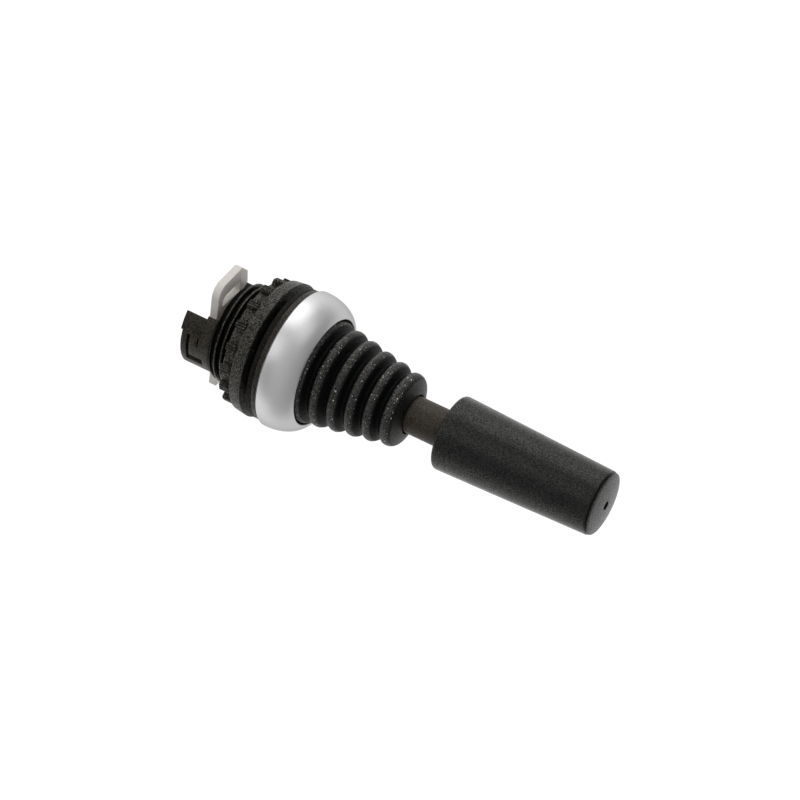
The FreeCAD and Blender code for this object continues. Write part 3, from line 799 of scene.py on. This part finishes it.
lower_out = fold_points(0, 0, SPLIT_FOLD)
lower_in = fold_points(BELLOWS_WALL, 0, SPLIT_FOLD)
upper_out = fold_points(0, SPLIT_FOLD + 1, FOLDS)
upper_in = fold_points(BELLOWS_WALL, SPLIT_FOLD + 1, FOLDS)
first_r = lower_out[0][0]
lower_outline = [
    (first_r - BELLOWS_WALL, COLLAR_TOP), (FOOT_R, COLLAR_TOP), (FOOT_R, FOOT_TOP),
    (first_r + 0.25, FOOT_TOP), (first_r, COLLAR_TOP + 1.25),
]
lower_outline += lower_out + [upper_out[0], upper_in[0]] + lower_in[::-1]
hole_edge = [
    (HOLE_R + 0.05, BELLOWS_END - 0.13), (HOLE_R, BELLOWS_END - 0.3), (HOLE_R, BELLOWS_END - 0.5),
]
upper_outline = upper_out + hole_edge + upper_in[::-1]
lower_mesh = lathe_mesh("bellows_lower", lower_outline, BELLOWS_SEGMENTS, bellows_shape)
upper_mesh = lathe_mesh("bellows_upper", upper_outline, BELLOWS_SEGMENTS, bellows_shape)
mark_folds(lower_mesh)
mark_folds(upper_mesh)
lower = piece("bellows_lower", lower_mesh, "bellows_rubber", None, ["bellows"])
upper = piece("bellows_upper", upper_mesh, "bellows_rubber", None, ["bellows"])
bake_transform(lower)
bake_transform(upper)


# Return spring, hidden in the bellows
WIRE_R = 0.4
SPRING_TURNS = 3
SPRING_LOW = low("return_spring") + WIRE_R
SPRING_HIGH = high("return_spring") - WIRE_R
SPRING_WIDE_R = 8.0
SPRING_NARROW_R = 5.0


def coil_mesh(name, first, last):
    """Part of the conical coil, between two shares of its turns."""
    steps = 72
    around = 10
    bm = bmesh.new()
    rings = []
    for i in range(steps + 1):
        share = first + (last - first) * i / steps
        angle = 2 * math.pi * SPRING_TURNS * share
        centre_r = SPRING_WIDE_R + (SPRING_NARROW_R - SPRING_WIDE_R) * share
        centre_z = SPRING_LOW + (SPRING_HIGH - SPRING_LOW) * share
        ring = []
        for k in range(around):
            b = 2 * math.pi * k / around
            r = centre_r + WIRE_R * math.cos(b)
            z = centre_z + WIRE_R * math.sin(b)
            ring.append(bm.verts.new(polar(r, angle, z)))
        rings.append(ring)
    for a, b in zip(rings, rings[1:]):
        for k in range(around):
            n = (k + 1) % around
            bm.faces.new([a[k], a[n], b[n], b[k]])
    bm.faces.new(rings[0][::-1])
    bm.faces.new(rings[-1])
    return finish_mesh(name, bm)


low_mesh = coil_mesh("spring_lower", 0.0, 0.5)
high_mesh = coil_mesh("spring_upper", 0.5, 1.0)
coil_low = piece("spring_lower", low_mesh, "spring_steel", None, ["return_spring"])
coil_high = piece("spring_upper", high_mesh, "spring_steel", None, ["return_spring"])
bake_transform(coil_low)
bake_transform(coil_high)


# Shaft, grip and cap
CLIP_GROOVE_R = 3.4
CLIP_GROOVE_WIDTH = 0.6
NECK_GROOVE = low("neck_bush") - CLIP_GROOVE_WIDTH
PEG_R = 2.2
PEG_TOP = SHAFT_FOOT + 2


def ring_groove(z):
    """Outline of the shaft at a clip's groove that starts at z."""
    end = z + CLIP_GROOVE_WIDTH
    return [(SHAFT_R, z, 0), (CLIP_GROOVE_R, z, 0), (CLIP_GROOVE_R, end, 0), (SHAFT_R, end, 0)]


shaft_outline = [
    (0, SHAFT_FOOT, 0), (PEG_R, SHAFT_FOOT, 0.2), (PEG_R, PEG_TOP, 0.05), (SHAFT_R, PEG_TOP, 0.2),
]
shaft_outline += ring_groove(high("washer")) + ring_groove(NECK_GROOVE)
shaft_outline += [(SHAFT_R, SHAFT_END, 0.3), (0, SHAFT_END, 0)]
lathe("shaft_rod", fillet(shaft_outline, 0), "shaft_dark", "lever", ["shaft"], segments=128)


GRIP_BORE_R = 4.05
INSERT_HOLE_R = 5.27


def grip_shape(angle, r, z):
    """Makes the outside slightly uneven."""
    if r <= 6.0:
        return r, z
    return r + wobble(angle, r, z, size=0.02, scale=0.25, seed=3.0), z


grip_slope = (GRIP_REAR_R - GRIP_RIM_R) / (GRIP_RIM - GRIP_REAR)
side_rows = 16
grip_side = []
for i in range(1, side_rows):
    z = GRIP_REAR + (GRIP_RIM - GRIP_REAR) * i / side_rows
    grip_side.append((GRIP_REAR_R - grip_slope * (z - GRIP_REAR), z, 0))
grip_outline = [(GRIP_BORE_R, GRIP_REAR, 0.25), (GRIP_REAR_R, GRIP_REAR, 0.7)] + grip_side
grip_outline += [
    (GRIP_RIM_R, GRIP_RIM, 0.45), (INSERT_HOLE_R, GRIP_RIM, 0.06),
    (INSERT_HOLE_R, INSERT_FOOT, 0.05), (GRIP_BORE_R, INSERT_FOOT, 0.05),
]
lathe("grip_handle", fillet(grip_outline, 0.05, 6), "grip_plastic", "lever", ["grip"],
      segments=224, shape=grip_shape)


def cap_outline():
    """Cap with a groove under its edge, a domed end and a small round hole in the middle."""
    edge_z = GRIP_RIM + 0.2
    edge_round = 0.25
    groove_r = CAP_R - 0.45
    plug_r = 5.25
    dome_r = 42.0
    hole_r = 0.9
    hole_foot = DOME_TOP - 2.2
    lean = math.asin((CAP_R - edge_round) / (dome_r - edge_round))
    edge = arc((CAP_R - edge_round, edge_z), edge_round, 0, 90 - math.degrees(lean), 6)
    dome = []
    steps = 14
    for i in range(1, steps + 1):
        a = lean + (math.asin((hole_r + 0.1) / dome_r) - lean) * i / steps
        dome.append((dome_r * math.sin(a), DOME_TOP - dome_r * (1 - math.cos(a)), 0))
    foot = [
        (0, CAP_FOOT, 0), (plug_r, CAP_FOOT, 0.2), (plug_r, GRIP_RIM, 0), (groove_r, GRIP_RIM, 0),
        (groove_r, edge_z, 0), (CAP_R, edge_z, 0.04),
    ]
    hole = [(hole_r, DOME_TOP - 0.1, 0), (hole_r, hole_foot, 0), (0, hole_foot, 0)]
    return foot + edge[1:] + dome + hole


lathe("grip_end_cap", fillet(cap_outline(), 0), "grip_plastic", "lever", ["grip_cap"],
      segments=160, shape=grip_shape)


# Rocker plate
TONGUE_HALF = 2.4
TONGUE_END = -14.4
LOBE_SIDE = 4.55
LOBE_CENTRE = (9.5, 1.65)
LOBE_ROUND = 2.9
LOBE_CORNER = (7.6, -6.6)


def meets_waist(a, b):
    """Where the line from a to b leaves the round waist of the plate."""
    start = Vector(a)
    run = Vector(b) - start
    half = start.dot(run) / run.length_squared
    rest = (start.length_squared - WAIST_R ** 2) / run.length_squared
    return tuple(start + run * (math.sqrt(half ** 2 - rest) - half))


def plate_outline():
    """The rounded windowed lobe at +X, the round waist and the plain tongue at -X."""
    root = meets_waist((5.2, -3.52), LOBE_CORNER)
    side = meets_waist((0, LOBE_SIDE), (LOBE_CENTRE[0], LOBE_SIDE))
    tongue = meets_waist((0, TONGUE_HALF), (TONGUE_END, TONGUE_HALF))

    def degrees(p):
        return math.degrees(math.atan2(p[1], p[0]))

    lobe = [(*root, 0.4), (*LOBE_CORNER, 0.5), (10.8, -6.2, 0.5), (12.9, -3.92, 0.5)]
    lobe += arc(LOBE_CENTRE, LOBE_ROUND, 0, 90, 12)
    upper = arc((0, 0), WAIST_R, degrees(side), degrees(tongue), 24)
    end = [(TONGUE_END, TONGUE_HALF, 0.25), (TONGUE_END, -TONGUE_HALF, 0.25)]
    under = arc((0, 0), WAIST_R, 360 - degrees(tongue), 360 + degrees(root), 24)
    return fillet(lobe + upper + end + under[:-1], 0)


window = fillet([(7.05, -3.6), (9.75, -3.6), (9.25, 1.95), (8.4, 2.8), (7.05, 2.8)], 0.25)
spigot_hole = fillet(arc((0, 0), 2.42, 0, 352.5, 47), 0)


def flat_plate(name, loops, low_z, high_z, edge=0.13):
    """A plate of the first loop with the others as holes, all edges rounded."""
    curve = bpy.data.curves.new(name, "CURVE")
    curve.dimensions = "2D"
    curve.fill_mode = "BOTH"
    curve.extrude = ((high_z - low_z) / 2 - edge) * MM
    curve.bevel_depth = edge * MM
    curve.bevel_resolution = 3
    curve.offset = -edge * MM
    for loop in loops:
        spline = curve.splines.new("POLY")
        spline.points.add(len(loop) - 1)
        for point, (x, y) in zip(spline.points, loop):
            point.co = (x * MM, y * MM, 0, 1)
        spline.use_cyclic_u = True
    holder = bpy.data.objects.new(name + "_curve", curve)
    bpy.context.scene.collection.objects.link(holder)
    graph = bpy.context.evaluated_depsgraph_get()
    mesh = bpy.data.meshes.new_from_object(holder.evaluated_get(graph))
    bpy.data.objects.remove(holder)
    mesh.transform(Matrix.Translation((0, 0, (low_z + high_z) / 2 * MM)))
    bm = bmesh.new()
    bm.from_mesh(mesh)
    return finish_mesh(name, bm, sharp=50.0)


plate_loops = [plate_outline(), window, spigot_hole]
plate = flat_plate("rocker_plate_white", plate_loops, PLATE_REAR, PLATE_FRONT)
piece("rocker_plate_white", plate, "rocker_acetal", "lever", ["rocker_plate"])

# The solids that stay get the finish of their slot
for subpart in frame["record"]["subparts"]:
    node = frame["nodes"][subpart["node"]]
    if not node.hide_render:
        node.data.materials.clear()
        node.data.materials.append(MATERIALS[subpart["material_slot"]])


# Camera: a long lens, aimed a little above the lever's axis at AIM_Z
TILT = math.radians(19.5)
ROLL = math.radians(25.3)
LOBE_TURN = math.radians(47)
AIM_Z = 26.74 * MM
RAISE = 1.48 * MM
DISTANCE = 740.7 * MM
near_side = Vector((math.cos(LOBE_TURN), math.sin(LOBE_TURN), 0))
upward = Vector((math.sin(LOBE_TURN), -math.cos(LOBE_TURN), 0))
axis = Vector((0, 0, 1))
to_camera = near_side * math.cos(TILT) + axis * math.sin(TILT)
along = axis * math.cos(TILT) - near_side * math.sin(TILT)
right = along * math.cos(ROLL) + upward * math.sin(ROLL)
up = upward * math.cos(ROLL) - along * math.sin(ROLL)
camera_data = bpy.data.cameras.new("camera")
camera_data.lens = 166.5
camera_data.sensor_width = 36.0
camera_data.clip_start = 0.01
camera_data.clip_end = 20.0
camera = bpy.data.objects.new("camera", camera_data)
camera_place = Matrix.Translation(axis * AIM_Z + upward * RAISE + to_camera * DISTANCE)
camera.matrix_world = camera_place @ Matrix((right, up, to_camera)).transposed().to_4x4()
bpy.context.scene.collection.objects.link(camera)
bpy.context.scene.camera = camera


LAMP_AIM = Vector((0, 0, 0.03))


def softbox(name, toward, distance, width, height, radiance):
    """A large even lamp aimed at the object, sizes in metres; radiance 1 looks white."""
    data = bpy.data.lights.new(name, "AREA")
    data.shape = "RECTANGLE"
    data.size = width
    data.size_y = height
    data.energy = radiance * math.pi * width * height
    lamp = bpy.data.objects.new(name, data)
    direction = toward.normalized()
    lamp.location = LAMP_AIM + direction * distance
    lamp.rotation_mode = "QUATERNION"
    lamp.rotation_quaternion = direction.to_track_quat("Z", "Y")
    bpy.context.scene.collection.objects.link(lamp)


softbox("key_above", upward * 0.86 + to_camera * 0.27 - along * 0.45,
        distance=1.2, width=1.0, height=0.8, radiance=1.45)
softbox("front_above", to_camera * 0.66 + upward * 0.68 + along * 0.1,
        distance=1.3, width=0.9, height=0.8, radiance=0.45)
softbox("left_fill", to_camera * 0.6 - along * 0.78 + upward * 0.05,
        distance=1.3, width=0.9, height=1.3, radiance=0.95)

# Surroundings: white behind the object, darker on the camera's side and past the grip
REAR_LEVEL = 0.58
GRIP_LEVEL = 0.36
world = bpy.data.worlds.new("studio")
bpy.context.scene.world = world
world.use_nodes = True
g = Graph(world.node_tree)
out = g.node("ShaderNodeOutputWorld")
sky = g.node("ShaderNodeBackground")
sky.inputs["Color"].default_value = (1, 1, 1, 1)
way = g.node("ShaderNodeTexCoord").outputs["Generated"]
front = g.span(g.toward(way, along), REAR_LEVEL, GRIP_LEVEL, from_low=-0.3, from_high=0.8, soft=True)
behind = g.span(g.toward(way, -to_camera), 0.0, 1.0, from_low=0.05, from_high=0.6, soft=True)
level = g.mix(behind, front, (1.0, 1.0, 1.0))
g.link(g.mix(g.ray("Camera"), level, (1.0, 1.0, 1.0)), sky.inputs["Strength"])
g.link(sky.outputs[0], out.inputs["Surface"])


FLOOR_Z = -0.7
FLOOR_HALF = 6.0
FLOOR_GLOW = 0.8
NEAR_LEVEL = 0.06
FAR_LEVEL = 0.85


def floor_material():
    """Pale surface that takes the light. It is white where the camera sees it, and its
    reflection gets darker on the camera's side."""
    m, g = new_material("floor_pale")
    out = g.node("ShaderNodeOutputMaterial")
    body = g.node("ShaderNodeBsdfDiffuse")
    glow = g.node("ShaderNodeEmission")
    add = g.node("ShaderNodeAddShader")
    body.inputs["Color"].default_value = (0.5, 0.5, 0.5, 1)
    forward = g.toward(g.coords, near_side)
    fade = g.span(forward, FAR_LEVEL, NEAR_LEVEL, from_low=0.1, from_high=1.1, soft=True)
    mirrored = g.math("MAXIMUM", g.ray("Glossy"), g.ray("Transmission"))
    shown = g.math("MULTIPLY", g.ray("Camera"), FLOOR_GLOW)
    g.link(g.math("ADD", shown, g.math("MULTIPLY", mirrored, fade)), glow.inputs["Strength"])
    g.link(body.outputs[0], add.inputs[0])
    g.link(glow.outputs[0], add.inputs[1])
    g.link(add.outputs[0], out.inputs["Surface"])
    return m


bm = bmesh.new()
bmesh.ops.create_grid(bm, x_segments=8, y_segments=8, size=FLOOR_HALF)
floor = bpy.data.objects.new("floor", finish_mesh("floor", bm))
floor.location.z = FLOOR_Z
floor.data.materials.append(floor_material())
bpy.context.scene.collection.objects.link(floor)

bpy.context.scene.view_settings.view_transform = "Standard"
